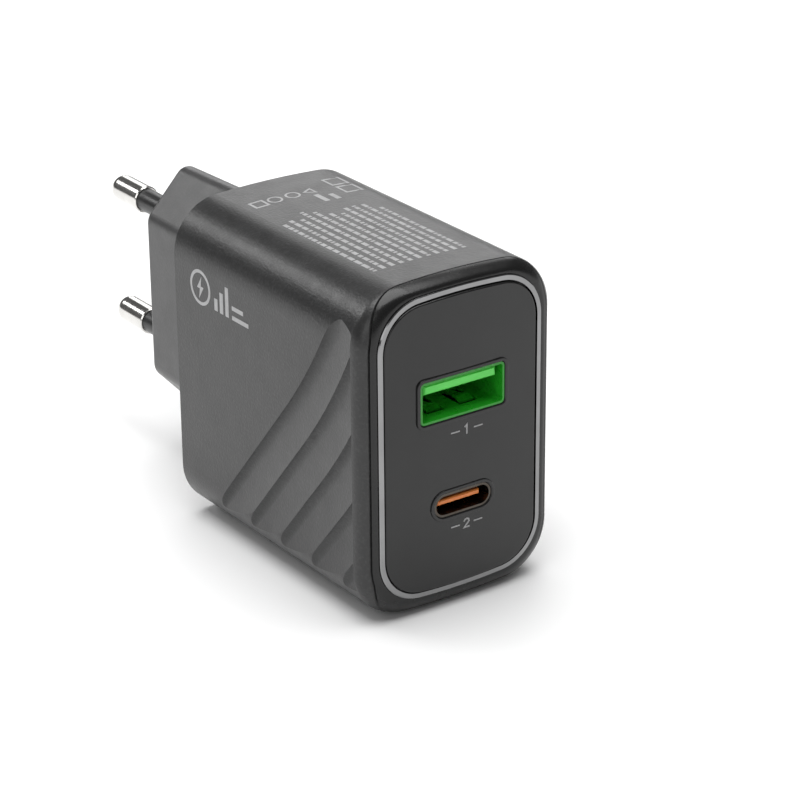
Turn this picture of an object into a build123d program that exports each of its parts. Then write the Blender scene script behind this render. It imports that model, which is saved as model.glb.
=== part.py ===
from build123d import *
import os
from math import cos, pi, radians, sin

os.makedirs("parts", exist_ok=True)

# Twin-socket USB wall charger with a two-pin plug, in millimetres.
# The origin is on the plug's face, midway between the pins. +Y points into the wall,
# +Z is up, and the sockets face -Y. "Depth" is the distance out from the plug's face.

# ---------------------------------------------------------------- driving dimensions
PIN_SPACING = 19.0
PIN_RADIUS = 2.0
PIN_LENGTH = 19.0
PIN_CORE_RADIUS = 1.35
SLEEVE_RADIUS = 1.7
SLEEVE_LENGTH = 11.0

PLUG_HALF_WIDTH = 6.7
PLUG_HALF_HEIGHT = 18.8
PLUG_SHOULDER = 11.6
PLUG_DEPTH = 21.5
PLUG_DRAFT = -1.2
PLUG_WALL = 1.8
PLUG_FACE_THICKNESS = 4.2

BODY_WIDTH = 30.0
BODY_HEIGHT = 45.4
BODY_CENTRE_Z = -1.0
BODY_CORNER = 7.2
BODY_CROWN = 0.8
BODY_DEPTH = 43.9
WALL = 1.8
REAR_WALL = 2.0

ROLL_DEPTH = 2.5
RING_WIDTH = 25.4
RING_HEIGHT = 41.8
RING_CENTRE_Z = -0.5
RING_CORNER = 6.6
RING_SECTION = 0.7
RING_CHAMFER = 0.12
RING_THICKNESS = 1.4
RING_MARGIN = 0.15
RING_PROUD = 0.25
PANEL_GAP = 0.2
PANEL_CROWN = 0.35
PANEL_ARC_RADIUS = 206.0
PARTING_SIDE_DEPTH = 64.75
PARTING_ARC_START = 16.0
PARTING_ARC_RADIUS = 12.5
PARTING_GROOVE = 0.22

FLUTE_PITCH = 5.47
FLUTE_DEPTH = 0.7
FLUTE_COUNT = 5
FLUTE_TURN_RADIUS = 90.0

SOCKET_A_Z = 5.8
SOCKET_C_Z = -9.0
SLIP = 0.05

BODY_FRONT = PLUG_DEPTH + BODY_DEPTH
COVER_FRONT = BODY_FRONT - RING_PROUD
ROLL_START = COVER_FRONT - ROLL_DEPTH
LEDGE_DEPTH = BODY_FRONT - RING_THICKNESS
PANEL_FACE = BODY_FRONT + PANEL_CROWN


# ---------------------------------------------------------------- helpers
def at_depth(depth, x=0.0, z=0.0):
    """Sketch plane across the charger: local x is +X, local y is +Z, normal is -Y."""
    return Plane(origin=(x, -depth, z), x_dir=(1, 0, 0), z_dir=(0, -1, 0))


def along_x(x, depth=0.0, z=0.0):
    """Sketch plane parallel to the side walls: local x is +Y, local y is +Z, normal is +X."""
    return Plane(origin=(x, -depth, z), x_dir=(0, 1, 0), z_dir=(1, 0, 0))


def crowned_outline(width, height, corner, crown):
    """Upright outline with straight sides, arched top and bottom, and round corners."""
    half_width, half_height = width / 2, height / 2
    shoulder = half_height - crown
    with BuildSketch() as outline:
        with BuildLine():
            Line((-half_width, -shoulder), (-half_width, shoulder))
            ThreePointArc((-half_width, shoulder), (0, half_height), (half_width, shoulder))
            Line((half_width, shoulder), (half_width, -shoulder))
            ThreePointArc((half_width, -shoulder), (0, -half_height), (-half_width, -shoulder))
        make_face()
        fillet(outline.vertices(), corner)
    return outline.sketch


def body_outline(inset):
    """The casing's outline, moved inward by an even margin."""
    return crowned_outline(
        BODY_WIDTH - 2 * inset, BODY_HEIGHT - 2 * inset, BODY_CORNER - inset, BODY_CROWN
    )


def ring_outline(inset):
    """The trim ring's outline, moved inward by an even margin."""
    return crowned_outline(
        RING_WIDTH - 2 * inset, RING_HEIGHT - 2 * inset, RING_CORNER - inset, BODY_CROWN
    )


def plug_outline(inset):
    """The plug's long hexagon, moved inward by an even margin along its sides."""
    half_width = PLUG_HALF_WIDTH - inset
    half_height = PLUG_HALF_HEIGHT - 1.4 * inset
    shoulder = PLUG_SHOULDER - 0.4 * inset
    with BuildSketch() as outline:
        with BuildLine():
            Polyline(
                (half_width, -shoulder),
                (half_width, shoulder),
                (0, half_height),
                (-half_width, shoulder),
                (-half_width, -shoulder),
                (0, -half_height),
                close=True,
            )
        make_face()
    return outline.sketch


def lengthwise_edges(part):
    """Edges that run along the plug's axis."""
    return part.edges().filter_by(lambda edge: abs(edge.tangent_at(0.5).Y) > 0.9)


def save(builder, name):
    """Label the finished piece and write it under its own name."""
    builder.part.label = name
    export_step(builder.part, f"parts/{name}.step")


# ---------------------------------------------------------------- plug pins and sleeves
TAIL_DEPTH = PLUG_DEPTH + REAR_WALL + 2.4
FLANGE_RADIUS = 2.6
FLANGE_THICKNESS = 1.2
ROUND_START = PIN_LENGTH - PIN_RADIUS

for place, pin_z in (("upper", PIN_SPACING / 2), ("lower", -PIN_SPACING / 2)):
    pin_axis = Axis((0, 0, pin_z), (0, 1, 0))

    # Round pin: bare metal end, a thinner core inside the sleeve, a flange and a tail.
    with BuildPart() as plug_pin:
        with BuildSketch(along_x(0, z=pin_z)):
            with BuildLine():
                Polyline(
                    (-TAIL_DEPTH, 0),
                    (-TAIL_DEPTH, PIN_CORE_RADIUS),
                    (-PLUG_FACE_THICKNESS - FLANGE_THICKNESS, PIN_CORE_RADIUS),
                    (-PLUG_FACE_THICKNESS - FLANGE_THICKNESS, FLANGE_RADIUS),
                    (-PLUG_FACE_THICKNESS, FLANGE_RADIUS),
                    (-PLUG_FACE_THICKNESS, PIN_CORE_RADIUS),
                    (SLEEVE_LENGTH, PIN_CORE_RADIUS),
                    (SLEEVE_LENGTH, PIN_RADIUS),
                    (ROUND_START, PIN_RADIUS),
                )
                ThreePointArc(
                    (ROUND_START, PIN_RADIUS),
                    (ROUND_START + PIN_RADIUS * cos(pi / 4), PIN_RADIUS * sin(pi / 4)),
                    (PIN_LENGTH, 0),
                )
                Line((PIN_LENGTH, 0), (-TAIL_DEPTH, 0))
            make_face()
        revolve(axis=pin_axis)
        shoulder_edge = plug_pin.edges().filter_by(GeomType.CIRCLE).filter_by_position(
            Axis.Y, SLEEVE_LENGTH - 0.01, SLEEVE_LENGTH + 0.01
        )
        chamfer(shoulder_edge.sort_by(SortBy.RADIUS)[-1], 0.15)
    save(plug_pin, f"plug_pin_{place}")

    # Plastic sleeve over the root of the pin, set one millimetre into the plug's face.
    with BuildPart() as pin_sleeve:
        with BuildSketch(at_depth(1.0, z=pin_z)):
            Circle(SLEEVE_RADIUS)
            Circle(PIN_CORE_RADIUS, mode=Mode.SUBTRACT)
        extrude(amount=-1.0 - SLEEVE_LENGTH)
    save(pin_sleeve, f"pin_sleeve_{place}")

# ---------------------------------------------------------------- plug body
NECK_INSET = 1.1
FLANGE_DEPTH = PLUG_DEPTH + REAR_WALL
plug_base_outline = plug_outline(0.0)
plug_neck_outline = plug_outline(NECK_INSET)
plug_hollow_outline = plug_outline(PLUG_WALL + NECK_INSET / 2)
rear_opening_outline = plug_outline(NECK_INSET - SLIP)
flange_limit = body_outline(WALL + 0.2)

with BuildPart() as plug_body:
    with BuildSketch(at_depth(0)):
        add(plug_base_outline)
    extrude(amount=PLUG_DEPTH, taper=PLUG_DRAFT)
    apexes = lengthwise_edges(plug_body).sort_by(lambda edge: abs(edge.center().Z))[-2:]
    fillet(apexes, 2.0)
    shoulders = lengthwise_edges(plug_body).filter_by(
        lambda edge: abs(edge.center().Z) < PLUG_SHOULDER + 1.5
    )
    fillet(shoulders, 2.4)
    fillet(plug_body.faces().sort_by(Axis.Y)[-1].edges(), 0.8)
    with BuildSketch(at_depth(PLUG_DEPTH)):
        add(plug_neck_outline)
    extrude(amount=REAR_WALL)
    with BuildSketch(at_depth(FLANGE_DEPTH)):
        add(plug_base_outline)
        with Locations((0, BODY_CENTRE_Z)):
            add(flange_limit, mode=Mode.INTERSECT)
    extrude(amount=1.2)
    with BuildSketch(at_depth(PLUG_FACE_THICKNESS)):
        add(plug_hollow_outline)
    extrude(amount=FLANGE_DEPTH, mode=Mode.SUBTRACT)
    with Locations(at_depth(0)):
        with GridLocations(0, PIN_SPACING, 1, 2):
            Cylinder(SLEEVE_RADIUS, 2.0, mode=Mode.SUBTRACT)
            Cylinder(PIN_CORE_RADIUS, 4 * PLUG_FACE_THICKNESS, mode=Mode.SUBTRACT)
save(plug_body, "plug_body")

# Brass leads that grip the pin tails and run to the edge of the main board.
LEAD_DEPTH = FLANGE_DEPTH + 1.6
BOARD_FACE_X = -10.8
LEAD_END_X = 2.4

with BuildPart() as mains_leads:
    for pin_z in (PIN_SPACING / 2, -PIN_SPACING / 2):
        with BuildSketch(at_depth(LEAD_DEPTH, z=pin_z)):
            with Locations(((BOARD_FACE_X + LEAD_END_X) / 2, 0)):
                Rectangle(LEAD_END_X - BOARD_FACE_X, 3.6)
            Circle(PIN_CORE_RADIUS, mode=Mode.SUBTRACT)
        extrude(amount=0.5)
save(mains_leads, "mains_leads")

# ---------------------------------------------------------------- housing
body_section = body_outline(0.0)
hollow_section = body_outline(WALL)
ROLL_TURNS = (0, 30, 60, 90)


def roll_section(turn):
    """Outline of the front roll after it has turned by an angle: 90 degrees is at the ring."""
    share = 1 - cos(radians(turn))
    return crowned_outline(
        BODY_WIDTH + (RING_WIDTH + 2 * RING_MARGIN - BODY_WIDTH) * share,
        BODY_HEIGHT + (RING_HEIGHT + 2 * RING_MARGIN - BODY_HEIGHT) * share,
        BODY_CORNER + (RING_CORNER + RING_MARGIN - BODY_CORNER) * share,
        BODY_CROWN,
    )


def roll_place(turn):
    """Sketch plane of that outline."""
    share = 1 - cos(radians(turn))
    centre_z = BODY_CENTRE_Z + (RING_CENTRE_Z - BODY_CENTRE_Z) * share
    return at_depth(ROLL_START + ROLL_DEPTH * sin(radians(turn)), z=centre_z)


roll_sections = {turn: roll_section(turn) for turn in ROLL_TURNS}

with BuildPart() as rolled_front:
    for turn, outline in roll_sections.items():
        with BuildSketch(roll_place(turn)):
            add(outline)
    loft()

# Everything in front of the parting line, which runs farther back over the top and bottom.
with BuildPart() as parting_block:
    with BuildSketch(along_x(-BODY_WIDTH, z=BODY_CENTRE_Z)):
        with BuildLine():
            upper_arc = JernArc(
                start=(-PARTING_SIDE_DEPTH, PARTING_ARC_START), tangent=(0, 1),
                radius=PARTING_ARC_RADIUS, arc_size=-45,
            )
            lower_arc = JernArc(
                start=(-PARTING_SIDE_DEPTH, -PARTING_ARC_START), tangent=(0, -1),
                radius=PARTING_ARC_RADIUS, arc_size=45,
            )
            Line((-PARTING_SIDE_DEPTH, PARTING_ARC_START), (-PARTING_SIDE_DEPTH, -PARTING_ARC_START))
            Polyline(
                upper_arc @ 1, (-BODY_FRONT - 5, BODY_HEIGHT), (-BODY_FRONT - 5, -BODY_HEIGHT),
                lower_arc @ 1,
            )
        make_face()
    extrude(amount=2 * BODY_WIDTH)

# Flutes are lapped like roof tiles: a short steep step, then a long slope back to the wall.
FLUTE_START = Vector(-61.8, 17.7)
FLUTE_START_SLOPE = 63.3
FLUTE_BEND = 14.0
FLUTE_TAIL = 50.0
FLUTE_STEP = Vector(-1, 0).rotate(Axis.Z, 90 - FLUTE_START_SLOPE + FLUTE_BEND) * FLUTE_PITCH
FLUTE_STEP_WIDTH = 1.3
FLUTE_OVERLAP = 0.03
FLUTE_CLEARANCE = 1.5
half_pitch = FLUTE_PITCH / 2

with BuildPart() as flute_cutters:
    for index in range(FLUTE_COUNT):
        start = FLUTE_START + FLUTE_STEP * index
        heading = Vector(1, 0).rotate(Axis.Z, -FLUTE_START_SLOPE)
        with BuildLine(along_x(-BODY_WIDTH / 2)) as flute_path:
            bend = JernArc(
                start=(start.X, start.Y),
                tangent=(heading.X, heading.Y),
                radius=FLUTE_TURN_RADIUS,
                arc_size=FLUTE_BEND,
            )
            Line(bend @ 1, bend @ 1 + (bend % 1) * FLUTE_TAIL)
        # Local x goes into the wall and local y across the flutes, from the step to the slope.
        across = Plane(
            origin=flute_path.line @ 0, x_dir=(1, 0, 0), z_dir=flute_path.line % 0
        )
        with BuildSketch(across):
            with BuildLine():
                ThreePointArc(
                    (0, -half_pitch),
                    (0.72 * FLUTE_DEPTH, -half_pitch + 0.35 * FLUTE_STEP_WIDTH),
                    (FLUTE_DEPTH, -half_pitch + FLUTE_STEP_WIDTH),
                )
                ThreePointArc(
                    (FLUTE_DEPTH, -half_pitch + FLUTE_STEP_WIDTH),
                    (0.58 * FLUTE_DEPTH, FLUTE_STEP_WIDTH / 2),
                    (0, half_pitch + FLUTE_OVERLAP),
                )
                Polyline(
                    (0, half_pitch + FLUTE_OVERLAP),
                    (-FLUTE_CLEARANCE, half_pitch - 0.5),
                    (-FLUTE_CLEARANCE, 0.5 - half_pitch),
                    (0, -half_pitch),
                )
            make_face()
        sweep(path=flute_path.line)
    mirror(about=Plane.YZ)

with BuildPart() as housing:
    with BuildSketch(at_depth(PLUG_DEPTH, z=BODY_CENTRE_Z)):
        add(body_section)
    extrude(amount=ROLL_START - PLUG_DEPTH)
    add(flute_cutters.part, mode=Mode.SUBTRACT)
    add(rolled_front.part)
    add(parting_block.part, mode=Mode.SUBTRACT)
    with BuildSketch(at_depth(PLUG_DEPTH + REAR_WALL, z=BODY_CENTRE_Z)):
        add(hollow_section)
    extrude(amount=BODY_DEPTH, mode=Mode.SUBTRACT)
    with BuildSketch(at_depth(PLUG_DEPTH - 1)):
        add(rear_opening_outline)
    extrude(amount=REAR_WALL + 2, mode=Mode.SUBTRACT)
save(housing, "housing")

# ---------------------------------------------------------------- front cover
SKIRT_BACK = 60.0
SKIRT_FRONT = 64.7
SKIRT_THICKNESS = 0.9
FRAME_BACK = LEDGE_DEPTH - 1.0
LEDGE_WIDTH = 1.2
skirt_section = body_outline(WALL + SLIP)
skirt_hollow_section = body_outline(WALL + SLIP + SKIRT_THICKNESS)
ring_seat_section = ring_outline(-SLIP)
ledge_section = ring_outline(RING_SECTION + LEDGE_WIDTH)
cover_region = Pos(0, -PARTING_GROOVE, 0) * parting_block.part

with BuildPart() as front_cover:
    add(rolled_front.part)
    add(cover_region, mode=Mode.INTERSECT)
    with BuildSketch(at_depth(SKIRT_BACK, z=BODY_CENTRE_Z)):
        add(skirt_section)
    extrude(amount=SKIRT_FRONT - SKIRT_BACK)
    with BuildSketch(at_depth(SKIRT_BACK - 1, z=BODY_CENTRE_Z)):
        add(skirt_hollow_section)
    extrude(amount=FRAME_BACK - SKIRT_BACK + 1, mode=Mode.SUBTRACT)
    with BuildSketch(at_depth(FRAME_BACK - 1, z=RING_CENTRE_Z)):
        add(ledge_section)
    extrude(amount=BODY_FRONT, mode=Mode.SUBTRACT)
    with BuildSketch(at_depth(LEDGE_DEPTH, z=RING_CENTRE_Z)):
        add(ring_seat_section)
    extrude(amount=RING_THICKNESS + 1, mode=Mode.SUBTRACT)
save(front_cover, "front_cover")

# ---------------------------------------------------------------- trim ring
ring_section = ring_outline(0.0)
ring_hole_section = ring_outline(RING_SECTION)

with BuildPart() as trim_ring:
    with BuildSketch(at_depth(LEDGE_DEPTH, z=RING_CENTRE_Z)):
        add(ring_section)
    extrude(amount=RING_THICKNESS)
    chamfer(trim_ring.faces().sort_by(Axis.Y)[0].edges(), RING_CHAMFER)
    with BuildSketch(at_depth(LEDGE_DEPTH - 1, z=RING_CENTRE_Z)):
        add(ring_hole_section)
    extrude(amount=RING_THICKNESS + 2, mode=Mode.SUBTRACT)
save(trim_ring, "trim_ring")

# ---------------------------------------------------------------- port panel
SHELL_A_WIDTH = 13.1
SHELL_A_HEIGHT = 5.7
SHELL_C_WIDTH = 8.94
SHELL_C_HEIGHT = 3.2
RIM_HEIGHT = 0.15
RIM_WIDTH = 0.45
LEAD_IN = 0.12
RIM_FRONT = PANEL_FACE + RIM_HEIGHT
panel_section = ring_outline(RING_SECTION + PANEL_GAP)

with BuildPart() as port_panel:
    with BuildSketch(at_depth(LEDGE_DEPTH, z=RING_CENTRE_Z)):
        add(panel_section)
    extrude(amount=PANEL_FACE - LEDGE_DEPTH)
    with Locations((0, PANEL_ARC_RADIUS - PANEL_FACE, RING_CENTRE_Z)):
        Cylinder(PANEL_ARC_RADIUS, 2 * BODY_HEIGHT, mode=Mode.INTERSECT)
    fillet(port_panel.faces().sort_by(Axis.Y)[0].edges(), 0.2)
    with BuildSketch(at_depth(LEDGE_DEPTH, z=SOCKET_A_Z)):
        RectangleRounded(
            SHELL_A_WIDTH + 2 * (LEAD_IN + RIM_WIDTH), SHELL_A_HEIGHT + 2 * (LEAD_IN + RIM_WIDTH), 1.1
        )
    with BuildSketch(at_depth(LEDGE_DEPTH, z=SOCKET_C_Z)):
        SlotOverall(
            SHELL_C_WIDTH + 2 * (LEAD_IN + RIM_WIDTH), SHELL_C_HEIGHT + 2 * (LEAD_IN + RIM_WIDTH)
        )
    extrude(amount=RIM_FRONT - LEDGE_DEPTH)
    rim_faces = port_panel.faces().filter_by(Axis.Y).group_by(Axis.Y)[0]
    fillet(rim_faces.edges(), 0.1)
    with BuildSketch(at_depth(LEDGE_DEPTH - 1, z=SOCKET_A_Z)):
        RectangleRounded(SHELL_A_WIDTH + 2 * SLIP, SHELL_A_HEIGHT + 2 * SLIP, 0.6)
    with BuildSketch(at_depth(LEDGE_DEPTH - 1, z=SOCKET_C_Z)):
        SlotOverall(SHELL_C_WIDTH + 2 * SLIP, SHELL_C_HEIGHT + 2 * SLIP)
    extrude(amount=RING_THICKNESS + 3, mode=Mode.SUBTRACT)
    rim_faces = port_panel.faces().filter_by(Axis.Y).group_by(Axis.Y)[0]
    for rim_face in rim_faces:
        chamfer(rim_face.inner_wires()[0].edges(), LEAD_IN)
save(port_panel, "port_panel")

# ---------------------------------------------------------------- USB-A socket
MOUTH_DEPTH = RIM_FRONT - 0.2
PORT_BOARD_FRONT = BODY_FRONT - 13.9
SHELL_THICKNESS = 0.3
SHELL_A_LENGTH = MOUTH_DEPTH - PORT_BOARD_FRONT
BLOCK_LENGTH = 3.0
TAB_SPACING = 5.2
TAB_WINDOW = 2.9
TAB_LENGTH = 4.6
TAB_DEPTH = MOUTH_DEPTH - 2.2
SHELL_A_FLOOR = SOCKET_A_Z - SHELL_A_HEIGHT / 2

with BuildPart() as usb_a_shell:
    with BuildSketch(at_depth(PORT_BOARD_FRONT, z=SOCKET_A_Z)):
        RectangleRounded(SHELL_A_WIDTH, SHELL_A_HEIGHT, 0.6)
        RectangleRounded(
            SHELL_A_WIDTH - 2 * SHELL_THICKNESS, SHELL_A_HEIGHT - 2 * SHELL_THICKNESS, 0.3,
            mode=Mode.SUBTRACT,
        )
    extrude(amount=SHELL_A_LENGTH)
    # Windows in the floor, each with a bent T-shaped tab that grips the plug.
    for tab_x in (-TAB_SPACING / 2, TAB_SPACING / 2):
        with Locations((tab_x, -TAB_DEPTH + TAB_LENGTH / 2, SHELL_A_FLOOR)):
            Box(TAB_WINDOW, TAB_LENGTH, 2 * SHELL_THICKNESS + 0.2, mode=Mode.SUBTRACT)
        with BuildSketch(along_x(tab_x - 0.55, depth=TAB_DEPTH, z=SHELL_A_FLOOR)):
            with BuildLine():
                Polyline(
                    (TAB_LENGTH + 0.1, 0), (TAB_LENGTH - 0.6, 0), (1.6, 0.5), (0.5, 0.15),
                    (0.5, 0.4), (1.6, 0.75), (TAB_LENGTH - 0.6, 0.3), (TAB_LENGTH + 0.1, 0.3),
                    close=True,
                )
            make_face()
        extrude(amount=1.1)
        with BuildSketch(along_x(tab_x - 1.1, depth=TAB_DEPTH, z=SHELL_A_FLOOR)):
            with BuildLine():
                Polyline(
                    (2.2, 0.4), (1.6, 0.5), (0.5, 0.15),
                    (0.5, 0.4), (1.6, 0.75), (2.2, 0.65),
                    close=True,
                )
            make_face()
        extrude(amount=2.2)
save(usb_a_shell, "usb_a_shell")

TONGUE_A_WIDTH = 11.2
TONGUE_A_THICKNESS = 1.25
TONGUE_A_Z = SOCKET_A_Z + SHELL_A_HEIGHT / 2 - SHELL_THICKNESS - 0.4 - TONGUE_A_THICKNESS / 2
TONGUE_A_FRONT = MOUTH_DEPTH - 0.6
CONTACT_A_X = (-3.5, -1.0, 1.0, 3.5)
CONTACT_A_WIDTH = 1.0

with BuildPart() as usb_a_tongue:
    with BuildSketch(at_depth(PORT_BOARD_FRONT, z=SOCKET_A_Z)):
        RectangleRounded(
            SHELL_A_WIDTH - 2 * SHELL_THICKNESS - SLIP, SHELL_A_HEIGHT - 2 * SHELL_THICKNESS - SLIP, 0.3
        )
    extrude(amount=BLOCK_LENGTH)
    with BuildSketch(at_depth(PORT_BOARD_FRONT, z=TONGUE_A_Z)):
        Rectangle(TONGUE_A_WIDTH, TONGUE_A_THICKNESS)
    extrude(amount=TONGUE_A_FRONT - PORT_BOARD_FRONT)
    chamfer(usb_a_tongue.faces().sort_by(Axis.Y)[0].edges(), 0.2)
    # Grooves under the tongue that hold the contact strips.
    for contact_x in CONTACT_A_X:
        with Locations((contact_x, -PORT_BOARD_FRONT, TONGUE_A_Z - TONGUE_A_THICKNESS / 2)):
            Box(CONTACT_A_WIDTH + 0.1, 2 * (TONGUE_A_FRONT - PORT_BOARD_FRONT - 1.2), 0.5, mode=Mode.SUBTRACT)
save(usb_a_tongue, "usb_a_tongue")

with BuildPart() as usb_a_contacts:
    for contact_x in CONTACT_A_X:
        contact_plane = along_x(
            contact_x - CONTACT_A_WIDTH / 2, depth=PORT_BOARD_FRONT, z=TONGUE_A_Z - TONGUE_A_THICKNESS / 2
        )
        with BuildSketch(contact_plane):
            with BuildLine():
                Polyline(
                    (0, 0), (-8.0, 0), (-9.6, -0.35), (-10.4, 0),
                    (-10.4, 0.2), (-9.6, -0.15), (-8.0, 0.2), (0, 0.2),
                    close=True,
                )
            make_face()
        extrude(amount=CONTACT_A_WIDTH)
save(usb_a_contacts, "usb_a_contacts")

# ---------------------------------------------------------------- USB-C socket
SHELL_C_BACK = MOUTH_DEPTH - 10.5
TONGUE_C_WIDTH = 6.7
TONGUE_C_THICKNESS = 0.7
TONGUE_C_FRONT = MOUTH_DEPTH - 0.9
CONTACT_C_COUNT = 12
CONTACT_C_PITCH = 0.5
CONTACT_C_LENGTH = 5.0
CONTACT_C_THICKNESS = 0.06

with BuildPart() as usb_c_shell:
    with BuildSketch(at_depth(SHELL_C_BACK, z=SOCKET_C_Z)):
        SlotOverall(SHELL_C_WIDTH, SHELL_C_HEIGHT)
        SlotOverall(
            SHELL_C_WIDTH - 2 * SHELL_THICKNESS, SHELL_C_HEIGHT - 2 * SHELL_THICKNESS, mode=Mode.SUBTRACT
        )
    extrude(amount=MOUTH_DEPTH - SHELL_C_BACK)
save(usb_c_shell, "usb_c_shell")

with BuildPart() as usb_c_tongue:
    with BuildSketch(at_depth(PORT_BOARD_FRONT, z=SOCKET_C_Z)):
        SlotOverall(
            SHELL_C_WIDTH - 2 * SHELL_THICKNESS - SLIP, SHELL_C_HEIGHT - 2 * SHELL_THICKNESS - SLIP
        )
    extrude(amount=SHELL_C_BACK + 2.5 - PORT_BOARD_FRONT)
    with BuildSketch(at_depth(PORT_BOARD_FRONT, z=SOCKET_C_Z)):
        Rectangle(TONGUE_C_WIDTH, TONGUE_C_THICKNESS)
    extrude(amount=TONGUE_C_FRONT - PORT_BOARD_FRONT)
    chamfer(usb_c_tongue.faces().sort_by(Axis.Y)[0].edges(), 0.15)
save(usb_c_tongue, "usb_c_tongue")

with BuildPart() as usb_c_contacts:
    contact_offset = (TONGUE_C_THICKNESS + CONTACT_C_THICKNESS) / 2
    for contact_z in (SOCKET_C_Z + contact_offset, SOCKET_C_Z - contact_offset):
        with BuildSketch(at_depth(TONGUE_C_FRONT - 0.6, z=contact_z)):
            with GridLocations(CONTACT_C_PITCH, 0, CONTACT_C_COUNT, 1):
                Rectangle(CONTACT_C_PITCH / 2, CONTACT_C_THICKNESS)
        extrude(amount=-CONTACT_C_LENGTH)
save(usb_c_contacts, "usb_c_contacts")

# ---------------------------------------------------------------- circuit boards
BOARD_THICKNESS = 1.2
MAIN_BOARD_BACK = FLANGE_DEPTH + 2.2
MAIN_BOARD_BOTTOM = BODY_CENTRE_Z - 17.0
MAIN_BOARD_TOP = BODY_CENTRE_Z + 16.5
PORT_BOARD_WIDTH = 21.0
PORT_BOARD_HEIGHT = 34.0
PORT_BOARD_BACK = PORT_BOARD_FRONT - BOARD_THICKNESS
MAIN_BOARD_LENGTH = PORT_BOARD_BACK - MAIN_BOARD_BACK

with BuildPart() as port_board:
    with BuildSketch(at_depth(PORT_BOARD_BACK, z=BODY_CENTRE_Z)):
        RectangleRounded(PORT_BOARD_WIDTH, PORT_BOARD_HEIGHT, 2.0)
    extrude(amount=BOARD_THICKNESS)
save(port_board, "port_board")

with BuildPart() as main_board:
    board_middle = (MAIN_BOARD_TOP + MAIN_BOARD_BOTTOM) / 2
    board_depth = MAIN_BOARD_BACK + MAIN_BOARD_LENGTH / 2
    with BuildSketch(along_x(BOARD_FACE_X, depth=board_depth, z=board_middle)):
        RectangleRounded(MAIN_BOARD_LENGTH, MAIN_BOARD_TOP - MAIN_BOARD_BOTTOM, 1.0)
    extrude(amount=-BOARD_THICKNESS)
save(main_board, "main_board")

with BuildPart() as insulating_sheet:
    with BuildSketch(along_x(BOARD_FACE_X - BOARD_THICKNESS - 0.2, depth=board_depth, z=board_middle)):
        RectangleRounded(MAIN_BOARD_LENGTH - 0.6, MAIN_BOARD_TOP - MAIN_BOARD_BOTTOM - 0.6, 1.0)
    extrude(amount=-0.3)
save(insulating_sheet, "insulating_sheet")

# ---------------------------------------------------------------- transformer
CORE_X = -4.4
CORE_DEPTH = MAIN_BOARD_BACK + 14.9
CORE_Z = BODY_CENTRE_Z - 0.5
CORE_LENGTH = 13.0
CORE_HEIGHT = 12.8
CORE_THICKNESS = 6.0
CENTRE_LEG = 5.0
OUTER_LEG = 1.4
YOKE = 1.8
WINDOW = CORE_LENGTH / 2 - OUTER_LEG - CENTRE_LEG / 2
core_plane = along_x(CORE_X - CORE_THICKNESS / 2, depth=CORE_DEPTH, z=CORE_Z)
winding_plane = Plane(origin=(CORE_X, -CORE_DEPTH, CORE_Z), x_dir=(1, 0, 0), z_dir=(0, 0, 1))

with BuildPart() as transformer_core:
    with BuildSketch(core_plane):
        Rectangle(CORE_LENGTH, CORE_HEIGHT)
        with GridLocations(CENTRE_LEG + WINDOW, 0, 2, 1):
            Rectangle(WINDOW, CORE_HEIGHT - 2 * YOKE, mode=Mode.SUBTRACT)
    extrude(amount=CORE_THICKNESS)
save(transformer_core, "transformer_core")

BOBBIN_HEIGHT = CORE_HEIGHT - 2 * YOKE - 0.1
BOBBIN_FLANGE = 0.6
BOBBIN_WIDTH = 12.0

with BuildPart() as transformer_bobbin:
    with BuildSketch(winding_plane.offset(-BOBBIN_HEIGHT / 2)):
        Rectangle(CORE_THICKNESS + 1.1, CENTRE_LEG + 1.1)
    extrude(amount=BOBBIN_HEIGHT)
    for flange_offset in (-BOBBIN_HEIGHT / 2, BOBBIN_HEIGHT / 2 - BOBBIN_FLANGE):
        with BuildSketch(winding_plane.offset(flange_offset)):
            RectangleRounded(BOBBIN_WIDTH, CENTRE_LEG + 2 * WINDOW - 0.1, 1.0)
        extrude(amount=BOBBIN_FLANGE)
    with BuildSketch(winding_plane.offset(-BOBBIN_HEIGHT)):
        Rectangle(CORE_THICKNESS + 0.1, CENTRE_LEG + 0.1)
    extrude(amount=2 * BOBBIN_HEIGHT, mode=Mode.SUBTRACT)
save(transformer_bobbin, "transformer_bobbin")

with BuildPart() as transformer_winding:
    winding_height = BOBBIN_HEIGHT - 2 * BOBBIN_FLANGE - 0.1
    with BuildSketch(winding_plane.offset(-winding_height / 2)):
        RectangleRounded(BOBBIN_WIDTH - 0.8, CENTRE_LEG + 2 * WINDOW - 0.5, 2.4)
        Rectangle(CORE_THICKNESS + 1.2, CENTRE_LEG + 1.2, mode=Mode.SUBTRACT)
    extrude(amount=winding_height)
save(transformer_winding, "transformer_winding")

# ---------------------------------------------------------------- parts on the main board
BULK_RADIUS = 3.8
BULK_LENGTH = 17.0
OUTPUT_RADIUS = 3.15
OUTPUT_LENGTH = 9.0
CHOKE_LENGTH = 8.0
CHOKE_FLANGE = 1.2


def board_spot(inward, height):
    """Depth and height of a place on the main board, from its rear edge and the casing's centre."""
    return MAIN_BOARD_BACK + inward, BODY_CENTRE_Z + height


def can_profile(radius, length):
    """Half section of a round can that stands on the main board, with a crimped neck."""
    with BuildSketch() as profile:
        with BuildLine():
            Polyline(
                (0, 0), (0, radius), (1.2, radius), (1.5, radius - 0.35), (1.9, radius - 0.35),
                (2.2, radius), (length - 0.4, radius), (length, radius - 0.4), (length, 0),
                close=True,
            )
        make_face()
    return profile.sketch


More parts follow.
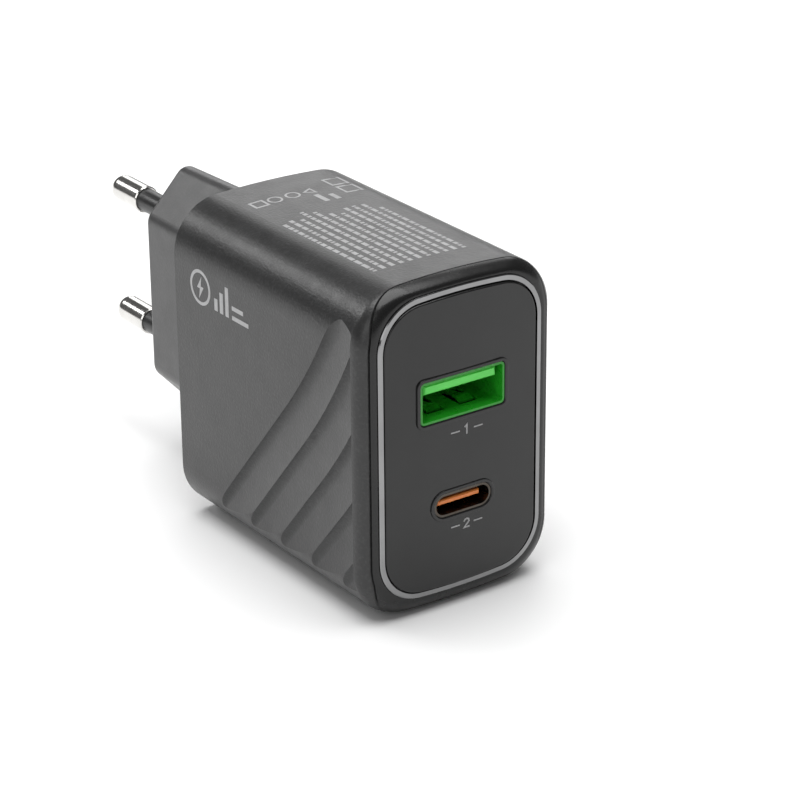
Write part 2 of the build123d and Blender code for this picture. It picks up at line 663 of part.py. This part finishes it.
bulk_profile = can_profile(BULK_RADIUS, BULK_LENGTH)
output_profile = can_profile(OUTPUT_RADIUS, OUTPUT_LENGTH)
CAN_GROUPS = {
    "input_capacitors": (bulk_profile, (board_spot(4.3, -11.0), board_spot(4.3, -3.0))),
    "output_capacitors": (output_profile, (board_spot(13.2, -12.2), board_spot(20.2, -12.2))),
}

for group_name, (half_section, spots) in CAN_GROUPS.items():
    with BuildPart() as cans:
        for can_depth, can_z in spots:
            foot = (BOARD_FACE_X, -can_depth, can_z)
            with BuildSketch(Plane(origin=foot, x_dir=(1, 0, 0), z_dir=(0, 0, 1))):
                add(half_section)
            revolve(axis=Axis(foot, (1, 0, 0)))
    save(cans, group_name)

choke_spot = board_spot(4.4, 5.6)

with BuildPart() as choke_core:
    for flange_x in (BOARD_FACE_X, BOARD_FACE_X + CHOKE_LENGTH - CHOKE_FLANGE):
        with BuildSketch(along_x(flange_x, *choke_spot)):
            Circle(3.6)
        extrude(amount=CHOKE_FLANGE)
    with BuildSketch(along_x(BOARD_FACE_X + CHOKE_FLANGE, *choke_spot)):
        Circle(1.8)
    extrude(amount=CHOKE_LENGTH - 2 * CHOKE_FLANGE)
save(choke_core, "choke_core")

with BuildPart() as choke_winding:
    with BuildSketch(along_x(BOARD_FACE_X + CHOKE_FLANGE + 0.1, *choke_spot)):
        Circle(3.2)
        Circle(1.85, mode=Mode.SUBTRACT)
    extrude(amount=CHOKE_LENGTH - 2 * CHOKE_FLANGE - 0.2)
save(choke_winding, "choke_winding")

with BuildPart() as fuse:
    with BuildSketch(along_x(BOARD_FACE_X, *board_spot(3.0, 12.0))):
        Circle(1.8)
    extrude(amount=7.5)
    fillet(fuse.faces().sort_by(Axis.X)[-1].edges(), 0.5)
save(fuse, "fuse")

with BuildPart() as y_capacitor:
    disc_depth, disc_z = board_spot(16.8, 8.6)
    with BuildSketch(Plane(origin=(BOARD_FACE_X + 4.4, -disc_depth, disc_z), z_dir=(0, 0, 1))):
        Circle(3.6)
    extrude(amount=1.4, both=True)
    fillet(y_capacitor.edges(), 0.9)
save(y_capacitor, "y_capacitor")

# Flat packages: distance in from the board's rear edge, height, then length, width, thickness.
CHIPS = {
    "bridge_rectifier": (10.4, 12.4, 4.6, 5.2, 1.6),
    "controller_chip": (23.0, 4.0, 3.0, 4.8, 1.4),
    "rectifier_chip": (23.0, -4.0, 3.0, 4.8, 1.1),
}

for chip_name, (inward, chip_height, chip_length, chip_width, chip_thickness) in CHIPS.items():
    with BuildPart() as chip:
        with BuildSketch(along_x(BOARD_FACE_X, *board_spot(inward, chip_height))):
            Rectangle(chip_length, chip_width)
        extrude(amount=chip_thickness)
        chamfer(chip.faces().sort_by(Axis.X)[-1].edges(), 0.2)
    save(chip, chip_name)

# ---------------------------------------------------------------- heat path
SPREADER_X = 11.2
PAD_GAP = 0.5
pad_start_x = CORE_X + (BOBBIN_WIDTH - 0.8) / 2 + PAD_GAP

with BuildPart() as heat_spreader:
    with BuildSketch(along_x(SPREADER_X, *board_spot(12.5, -0.5))):
        RectangleRounded(22.0, 28.0, 1.0)
    extrude(amount=0.8)
save(heat_spreader, "heat_spreader")

with BuildPart() as thermal_pad:
    with BuildSketch(along_x(pad_start_x, CORE_DEPTH, CORE_Z)):
        Rectangle(9.0, 8.0)
    extrude(amount=SPREADER_X - pad_start_x)
save(thermal_pad, "thermal_pad")
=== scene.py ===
import math
import random

import bpy
from mathutils import Matrix, Vector
from mathutils.bvhtree import BVHTree


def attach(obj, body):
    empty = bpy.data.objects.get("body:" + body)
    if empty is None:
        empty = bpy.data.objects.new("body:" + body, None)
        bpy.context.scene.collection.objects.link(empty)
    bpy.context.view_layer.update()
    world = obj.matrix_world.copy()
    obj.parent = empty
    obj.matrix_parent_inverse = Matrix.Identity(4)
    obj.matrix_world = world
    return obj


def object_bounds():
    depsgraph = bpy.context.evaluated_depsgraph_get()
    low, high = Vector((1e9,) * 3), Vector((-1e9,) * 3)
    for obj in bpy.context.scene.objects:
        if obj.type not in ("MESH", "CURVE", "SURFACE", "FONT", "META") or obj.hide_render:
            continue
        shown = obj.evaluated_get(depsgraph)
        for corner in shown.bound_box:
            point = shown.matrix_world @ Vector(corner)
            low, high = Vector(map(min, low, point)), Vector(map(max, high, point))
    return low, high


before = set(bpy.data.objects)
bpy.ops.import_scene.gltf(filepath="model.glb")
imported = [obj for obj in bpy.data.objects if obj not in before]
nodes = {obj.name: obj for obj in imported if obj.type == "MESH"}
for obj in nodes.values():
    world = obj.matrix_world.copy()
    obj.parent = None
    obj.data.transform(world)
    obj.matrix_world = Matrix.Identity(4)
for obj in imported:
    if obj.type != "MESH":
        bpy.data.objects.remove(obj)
cad_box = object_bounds()

MM = 0.001
TOWARD_SOCKETS, RIGHTWARD, UPWARD = (0, -1, 0), (1, 0, 0), (0, 0, 1)
LEFTWARD, TOWARD_WALL = (-1, 0, 0), (0, 1, 0)
scene = bpy.context.scene


# ---------------------------------------------------------------- materials
# A noise texture stays mostly between these levels, so a ramp reads between them.
NOISE_LOW, NOISE_HIGH = 0.3, 0.7
FLECK_LOW, FLECK_HIGH = 0.52, 0.72
FLECK_SIZE = 1.3
GLOSS_PATCH = 0.6


def finish_of(name, colour, other, rough, rough_spread=0.05, patch=0.004, grain=0.0003,
              height=0.000004, metallic=0.0, specular=0.5, coat=0.0, coat_rough=0.1,
              direction=(1, 1, 1), fleck=0.0, fleck_colour=(1, 1, 1)):
    """Procedural finish: two mixed colours in patches, uneven gloss and a fine raised grain.

    Lengths are in metres. direction stretches the pattern along the axes. fleck is the
    greatest share of a second colour in small specks."""
    material = bpy.data.materials.new(name)
    material.use_nodes = True
    tree = material.node_tree
    shader = tree.nodes["Principled BSDF"]
    shader.inputs["Metallic"].default_value = metallic
    shader.inputs["Specular IOR Level"].default_value = specular
    shader.inputs["Coat Weight"].default_value = coat
    shader.inputs["Coat Roughness"].default_value = coat_rough
    link = tree.links.new

    place = tree.nodes.new("ShaderNodeTexCoord")
    stretch = tree.nodes.new("ShaderNodeMapping")
    stretch.inputs["Scale"].default_value = direction
    link(place.outputs["Object"], stretch.inputs["Vector"])

    def noise(size, detail):
        node = tree.nodes.new("ShaderNodeTexNoise")
        node.inputs["Scale"].default_value = 1 / size
        node.inputs["Detail"].default_value = detail
        link(stretch.outputs["Vector"], node.inputs["Vector"])
        return node

    def ramp(source, low, high):
        node = tree.nodes.new("ShaderNodeMapRange")
        node.inputs["From Min"].default_value = NOISE_LOW
        node.inputs["From Max"].default_value = NOISE_HIGH
        node.inputs["To Min"].default_value = low
        node.inputs["To Max"].default_value = high
        link(source.outputs["Fac"], node.inputs["Value"])
        return node

    def blend(factor, first, second):
        node = tree.nodes.new("ShaderNodeMix")
        node.data_type = "RGBA"
        link(factor, node.inputs["Factor"])
        for socket, value in ((node.inputs["A"], first), (node.inputs["B"], second)):
            if isinstance(value, tuple):
                socket.default_value = (*value, 1)
            else:
                link(value, socket)
        return node.outputs["Result"]

    base = blend(ramp(noise(patch, 4), 0, 1).outputs["Result"], colour, other)
    if fleck:
        speck = tree.nodes.new("ShaderNodeMapRange")
        speck.inputs["From Min"].default_value = FLECK_LOW
        speck.inputs["From Max"].default_value = FLECK_HIGH
        speck.inputs["To Max"].default_value = fleck
        link(noise(grain * FLECK_SIZE, 1).outputs["Fac"], speck.inputs["Value"])
        base = blend(speck.outputs["Result"], base, fleck_colour)
    link(base, shader.inputs["Base Color"])
    uneven = ramp(noise(patch * GLOSS_PATCH, 5), rough - rough_spread, rough + rough_spread)
    link(uneven.outputs["Result"], shader.inputs["Roughness"])
    if height:
        bump = tree.nodes.new("ShaderNodeBump")
        bump.inputs["Strength"].default_value = 1.0
        bump.inputs["Distance"].default_value = height
        link(noise(grain, 2).outputs["Fac"], bump.inputs["Height"])
        link(bump.outputs["Normal"], shader.inputs["Normal"])
    return material


def grey(value):
    """A grey that is very slightly blue."""
    return (value, value, value * 1.01)


FINISHES = {
    "housing": finish_of("housing_plastic", grey(0.016), grey(0.021), 0.33, 0.03, grain=0.00034,
                         height=0.000030, specular=0.5, fleck=0.10, fleck_colour=grey(0.12)),
    "front_cover": finish_of("cover_plastic", grey(0.008), grey(0.011), 0.26, 0.03,
                             height=0.000004, specular=0.4),
    "trim_ring": finish_of("ring_plastic", grey(0.24), grey(0.28), 0.14, 0.02,
                           height=0.0000005, metallic=1.0),
    "port_panel": finish_of("panel_plastic", grey(0.009), grey(0.012), 0.24, 0.03, grain=0.00012,
                            height=0.000002, specular=0.45),
    "plug_body": finish_of("plug_plastic", grey(0.034), grey(0.044), 0.36, 0.04, grain=0.00030,
                           height=0.000018, specular=0.6, fleck=0.10, fleck_colour=grey(0.12)),
    "plug_pin_upper": finish_of("pin_metal", (0.62, 0.61, 0.59), (0.70, 0.69, 0.67), 0.16, 0.05,
                                patch=0.002, grain=0.0002, height=0.0000006, metallic=1.0),
    "pin_sleeve_upper": finish_of("sleeve_plastic", grey(0.013), grey(0.018), 0.35, 0.05,
                                  height=0.000004),
    "mains_leads": finish_of("lead_brass", (0.75, 0.53, 0.22), (0.62, 0.42, 0.16), 0.32, 0.10,
                             metallic=1.0),
    "main_board": finish_of("board_laminate", (0.02, 0.12, 0.05), (0.03, 0.16, 0.07), 0.38, 0.08,
                            patch=0.001, fleck=0.3, fleck_colour=(0.10, 0.22, 0.10)),
    "insulating_sheet": finish_of("sheet_plastic", (0.55, 0.53, 0.40), (0.62, 0.60, 0.46), 0.35,
                                  0.08, patch=0.006),
    # The socket shell's green colour is a painted reflection of the green tongue on plated metal,
    # not a coat of green paint.
    "usb_a_shell": finish_of("green_shell", (0.012, 0.27, 0.012), (0.02, 0.33, 0.02), 0.30, 0.06,
                             patch=0.002, height=0.000002),
    "usb_a_tongue": finish_of("green_plastic", (0.10, 0.74, 0.09), (0.13, 0.80, 0.12), 0.32, 0.05,
                              patch=0.002, height=0.000002),
    "usb_a_contacts": finish_of("contact_gold", (0.83, 0.60, 0.24), (0.76, 0.52, 0.20), 0.20,
                                0.06, metallic=1.0, patch=0.0005, height=0.000001),
    "usb_c_shell": finish_of("steel_shell", (0.10, 0.09, 0.08), (0.07, 0.06, 0.05), 0.30, 0.06,
                             metallic=1.0, patch=0.001, direction=(1, 0.1, 1)),
    "usb_c_tongue": finish_of("orange_plastic", (0.90, 0.25, 0.05), (0.95, 0.30, 0.07), 0.38,
                              0.05, patch=0.001, height=0.000003),
    "transformer_core": finish_of("ferrite", grey(0.05), grey(0.09), 0.62, 0.12, patch=0.001,
                                  height=0.00002, fleck=0.3, fleck_colour=grey(0.25)),
    "transformer_bobbin": finish_of("bobbin_plastic", grey(0.03), grey(0.05), 0.5, 0.08),
    "transformer_winding": finish_of("winding_tape", (0.78, 0.56, 0.05), (0.70, 0.47, 0.04), 0.35,
                                     0.10, patch=0.003, direction=(1, 1, 4)),
    "choke_winding": finish_of("choke_copper", (0.60, 0.22, 0.08), (0.45, 0.14, 0.05), 0.28, 0.08,
                               patch=0.0008, grain=0.0004, height=0.00006, metallic=0.9,
                               direction=(1, 0.02, 0.02)),
    "input_capacitors": finish_of("can_aluminium", (0.12, 0.14, 0.20), (0.16, 0.18, 0.25), 0.36,
                                  0.08, metallic=0.3, direction=(0.2, 1, 1)),
    "fuse": finish_of("fuse_plastic", (0.10, 0.05, 0.03), (0.15, 0.07, 0.04), 0.45, 0.08),
    "y_capacitor": finish_of("disc_ceramic", (0.04, 0.16, 0.42), (0.05, 0.20, 0.50), 0.38, 0.08,
                             patch=0.001, height=0.00001),
    "controller_chip": finish_of("chip_plastic", grey(0.03), grey(0.045), 0.52, 0.08,
                                 patch=0.0008, height=0.00001),
    "heat_spreader": finish_of("spreader_aluminium", (0.66, 0.67, 0.68), (0.58, 0.59, 0.60), 0.30,
                               0.08, metallic=1.0, direction=(1, 0.05, 1)),
    "thermal_pad": finish_of("pad_silicone", (0.35, 0.42, 0.50), (0.42, 0.49, 0.57), 0.62, 0.08,
                             patch=0.001, height=0.00001),
}
SAME_FINISH = {
    "plug_pin_lower": "plug_pin_upper",
    "pin_sleeve_lower": "pin_sleeve_upper",
    "port_board": "main_board",
    "usb_c_contacts": "usb_a_contacts",
    "choke_core": "transformer_core",
    "output_capacitors": "input_capacitors",
    "bridge_rectifier": "controller_chip",
    "rectifier_chip": "controller_chip",
}
for node_name, node in nodes.items():
    material = FINISHES[SAME_FINISH.get(node_name, node_name)]
    if not node.data.materials:
        node.data.materials.append(material)
    for slot_index in range(len(node.material_slots)):
        node.material_slots[slot_index].material = material


# ---------------------------------------------------------------- printed marks
PRINT_RISE = 0.015 * MM
PRINT_ROOT = 0.03 * MM
RAY_LIFT = 20 * MM
SHARPEST_MITRE = 0.4
side_ink = finish_of("mark_ink", grey(0.34), grey(0.42), 0.45, 0.05, patch=0.001)
top_ink = finish_of("rating_ink", grey(0.26), grey(0.34), 0.5, 0.05, patch=0.001)
panel_ink = finish_of("label_ink", grey(0.26), grey(0.32), 0.45, 0.05, patch=0.001)


def surface_of(node_name):
    mesh = nodes[node_name].data
    return BVHTree.FromPolygons([v.co for v in mesh.vertices], [p.vertices for p in mesh.polygons])


SURFACES = {name: surface_of(name) for name in ("housing", "port_panel")}


class Print:
    """Flat shapes gathered in millimetres, then laid on a surface as one thin raised mesh."""

    def __init__(self):
        self.points, self.faces = [], []

    def strip(self, first, second, closed=False):
        """Quads between two matching rows of points, wound anticlockwise."""
        start, count = len(self.points), len(first)
        self.points += [*first, *second]
        for i in range(count if closed else count - 1):
            j = (i + 1) % count
            self.faces.append((start + i, start + j, start + count + j, start + count + i))

    def bar(self, x, y, width, height, step=0.8):
        """An upright rectangle from its lower left corner, cut so that it can bend."""
        cuts = max(1, round(width / step))
        row = [x + width * i / cuts for i in range(cuts + 1)]
        self.strip([(u, y) for u in row], [(u, y + height) for u in row])

    def stroke(self, path, width, closed=False):
        """A line of even width along a path, with mitred corners."""
        count, half = len(path), width / 2
        inner, outer = [], []
        for i, (x, y) in enumerate(path):
            before = path[(i - 1) % count] if closed or i else None
            after = path[(i + 1) % count] if closed or i < count - 1 else None
            sides = []
            for a, b in ((before, (x, y)), ((x, y), after)):
                if a and b:
                    run = Vector((b[0] - a[0], b[1] - a[1])).normalized()
                    sides.append(Vector((-run.y, run.x)))
            normal = sum(sides, Vector((0, 0))).normalized()
            reach = half / max(SHARPEST_MITRE, normal.dot(sides[0]))
            inner.append((x - normal.x * reach, y - normal.y * reach))
            outer.append((x + normal.x * reach, y + normal.y * reach))
        self.strip(inner, outer, closed)

    def patch(self, corners, faces):
        """Separate corners and the faces between them, wound anticlockwise."""
        start = len(self.points)
        self.points += corners
        self.faces += [tuple(start + i for i in face) for face in faces]

    def ring(self, x, y, radius, width, steps=40):
        """A circle of even line width."""
        turn = [2 * math.pi * i / steps for i in range(steps)]
        self.stroke([(x + radius * math.cos(a), y + radius * math.sin(a)) for a in turn],
                    width, closed=True)

    def lay(self, name, node_name, origin, across, upward, ink):
        """Drop every point on the node's surface and close the sheet into a thin solid."""
        across, upward = Vector(across), Vector(upward)
        out = across.cross(upward)
        tree = SURFACES[node_name]
        base, top = [], []
        for x, y in self.points:
            spot = Vector(origin) * MM + across * x * MM + upward * y * MM
            hit = tree.ray_cast(spot + out * RAY_LIFT, -out)[0]
            base.append(hit - out * PRINT_ROOT)
            top.append(hit + out * PRINT_RISE)
        count = len(base)
        faces = [tuple(i + count for i in f) for f in self.faces]
        faces += [tuple(reversed(f)) for f in self.faces]
        edges = {(f[i], f[(i + 1) % len(f)]) for f in self.faces for i in range(len(f))}
        faces += [(a, b, b + count, a + count) for a, b in sorted(edges) if (b, a) not in edges]
        mesh = bpy.data.meshes.new(name)
        mesh.from_pydata(base + top, [], faces)
        mesh.validate()
        mesh.materials.append(ink)
        piece = bpy.data.objects.new(name, mesh)
        scene.collection.objects.link(piece)
        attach(piece, "root")
        return piece


# A generic charging mark: a bolt in a ring, three rising level bars and two dashes.
SIDE_MARK_SPOT = (-15.0, -25.3, 11.7)
MARK_FOOT = -2.1
BAR_HEIGHTS = (1.7, 2.9, 4.1)
BAR_START, BAR_PITCH, BAR_WIDTH = 6.0, 1.35, 0.8
DASH_START, DASH_HEIGHT = 10.3, 0.6

mark = Print()
mark.ring(2.6, 0, 2.25, 0.45)
mark.patch([(2.95, 1.6), (1.8, -0.15), (2.5, -0.15), (2.25, -1.6), (3.4, 0.15), (2.7, 0.15)],
           [(0, 1, 2, 5), (2, 3, 4, 5)])
for level, bar_height in enumerate(BAR_HEIGHTS):
    mark.bar(BAR_START + level * BAR_PITCH, MARK_FOOT, BAR_WIDTH, bar_height)
mark.bar(DASH_START, MARK_FOOT, 3.9, DASH_HEIGHT)
mark.bar(DASH_START, -0.75, 2.7, DASH_HEIGHT)
mark.lay("side_mark", "housing", SIDE_MARK_SPOT, TOWARD_SOCKETS, UPWARD, side_ink)

# Rating panel on the top: rows of dashes that stand for small print, and plain pictograms.
random.seed(4)
TOP_SPOT = (0.0, 0.0, 21.7)
ROW_PITCH = 1.38
ROW_COUNT = 11
FIRST_ROW_X = 6.6
ROW_START_Y, ROW_END_Y = -57.6, -36.0
SHORT_ROW_EVERY, SHORT_ROW_CUT = 4, 2.5
LETTER_HEIGHT = 0.62

rating = Print()
for row in range(ROW_COUNT):
    line_x = FIRST_ROW_X - row * ROW_PITCH
    shortened = 0 if row % SHORT_ROW_EVERY else SHORT_ROW_CUT
    row_end = ROW_END_Y + random.uniform(-1.5, 1.5) - shortened
    y = ROW_START_Y
    while y < row_end:
        word = random.uniform(0.35, 1.5)
        rating.bar(y, -line_x, min(word, row_end - y + 0.2), LETTER_HEIGHT)
        y += word + random.uniform(0.22, 0.34)
for corner_y, corner_x, side in ((-31.6, -8.6, 2.5), (-28.2, -8.6, 2.5), (-29.6, 5.0, 1.9)):
    rating.stroke([(corner_y, corner_x), (corner_y + side, corner_x),
                   (corner_y + side, corner_x + side), (corner_y, corner_x + side)],
                  0.36, closed=True)
for ring_y, ring_x in ((-28.6, 3.4), (-28.6, 0.6)):
    rating.ring(ring_y, ring_x, 0.95, 0.3)
rating.stroke([(-29.4, -2.6), (-27.8, -2.6), (-28.6, -1.2)], 0.3, closed=True)
rating.bar(-33.2, -2.4, 3.0, 0.8)
rating.bar(-33.2, -4.2, 2.2, 0.8)
rating.lay("rating_print", "housing", TOP_SPOT, TOWARD_WALL, LEFTWARD, top_ink)

# Port numbers with a short dash on each side, under each socket.
LABEL_Y = -66.0
DIGIT_STROKE = 0.22
DIGIT_ONE = ((0.25, 1.0), (0.6, 1.3), (0.6, 0.0))
DIGIT_TWO = ((0.15, 0.95), (0.3, 1.2), (0.6, 1.28), (0.9, 1.15), (0.95, 0.85), (0.2, 0.1),
             (1.05, 0.1))
SIDE_DASH_X = (-1.9, 1.7)

labels = Print()
for label_z, digit in ((0.15, DIGIT_ONE), (-13.05, DIGIT_TWO)):
    labels.stroke([(x, label_z + z) for x, z in digit], DIGIT_STROKE)
    for dash_x in SIDE_DASH_X:
        labels.bar(dash_x, label_z + 0.55, 1.4, 0.2)
labels.lay("port_numbers", "port_panel", (0, LABEL_Y, 0), RIGHTWARD, UPWARD, panel_ink)


# ---------------------------------------------------------------- floor, light and camera
FLOOR_HALF_SIZE = 1.6
FLOOR_GAP = 0.1 * MM


def studio_floor():
    """A pale matt sheet just under the object."""
    size, level = FLOOR_HALF_SIZE, cad_box[0].z - FLOOR_GAP
    mesh = bpy.data.meshes.new("floor")
    mesh.from_pydata([(-size, -size, level), (size, -size, level), (size, size, level),
                      (-size, size, level)], [], [(0, 1, 2, 3)])
    material = bpy.data.materials.new("floor_paper")
    material.use_nodes = True
    tree = material.node_tree
    noise = tree.nodes.new("ShaderNodeTexNoise")
    noise.inputs["Scale"].default_value = 40
    ramp = tree.nodes.new("ShaderNodeMapRange")
    ramp.inputs["To Min"].default_value = 0.75
    ramp.inputs["To Max"].default_value = 0.85
    tree.links.new(noise.outputs["Fac"], ramp.inputs["Value"])
    shader = tree.nodes["Principled BSDF"]
    shader.inputs["Base Color"].default_value = (0.93, 0.93, 0.93, 1)
    shader.inputs["Specular IOR Level"].default_value = 0.1
    tree.links.new(ramp.outputs["Result"], shader.inputs["Roughness"])
    mesh.materials.append(material)
    floor = bpy.data.objects.new("floor", mesh)
    scene.collection.objects.link(floor)


def softbox(name, toward, distance, width, height, radiance, aim=(0, -0.04, 0)):
    """A rectangular light of even brightness, facing the object from a direction."""
    light = bpy.data.lights.new(name, "AREA")
    light.shape = "RECTANGLE"
    light.size, light.size_y = width, height
    light.energy = radiance * math.pi * width * height
    holder = bpy.data.objects.new(name, light)
    toward = Vector(toward).normalized()
    holder.location = Vector(aim) + toward * distance
    holder.rotation_euler = toward.to_track_quat("Z", "Y").to_euler()
    scene.collection.objects.link(holder)


studio_floor()
softbox("overhead", (0.0, 0.05, 1.0), 0.9, 1.0, 1.0, 4.2)
softbox("back_right", (0.60, 0.80, 0.40), 0.8, 0.45, 0.34, 1.8)
softbox("back_left", (-0.42, 0.75, 0.52), 0.8, 0.34, 0.18, 5.0)
softbox("front_left", (-0.9, -0.55, 0.45), 0.9, 0.5, 0.5, 1.6)

FILL_STRENGTH = 0.12
world = bpy.data.worlds.new("studio")
scene.world = world
world.use_nodes = True
sky = world.node_tree.nodes["Background"]
sky.inputs["Color"].default_value = (1, 1, 1, 1)
sky.inputs["Strength"].default_value = FILL_STRENGTH
scene.view_settings.view_transform = "Standard"

# The camera turns round the origin, then steps sideways and up so that the object is off centre.
AZIMUTH, ELEVATION, ROLL = math.radians(-35.32), math.radians(23.74), math.radians(-0.48)
DISTANCE = 0.41362
SIDESTEP, LIFT = -0.03022, 0.01675
LENS, SENSOR_WIDTH = 129.81, 36.0
back = Vector((math.sin(AZIMUTH) * math.cos(ELEVATION),
               -math.cos(AZIMUTH) * math.cos(ELEVATION), math.sin(ELEVATION)))
level_right = Vector((math.cos(AZIMUTH), math.sin(AZIMUTH), 0))
level_up = back.cross(level_right)
right = level_right * math.cos(ROLL) + level_up * math.sin(ROLL)
up = level_up * math.cos(ROLL) - level_right * math.sin(ROLL)

camera_data = bpy.data.cameras.new("camera")
camera_data.lens = LENS
camera_data.sensor_width = SENSOR_WIDTH
camera_data.clip_start = 0.01
camera = bpy.data.objects.new("camera", camera_data)
scene.collection.objects.link(camera)
camera.rotation_euler = Matrix((right, up, back)).transposed().to_euler()
camera.location = back * DISTANCE - right * SIDESTEP - up * LIFT
scene.camera = camera
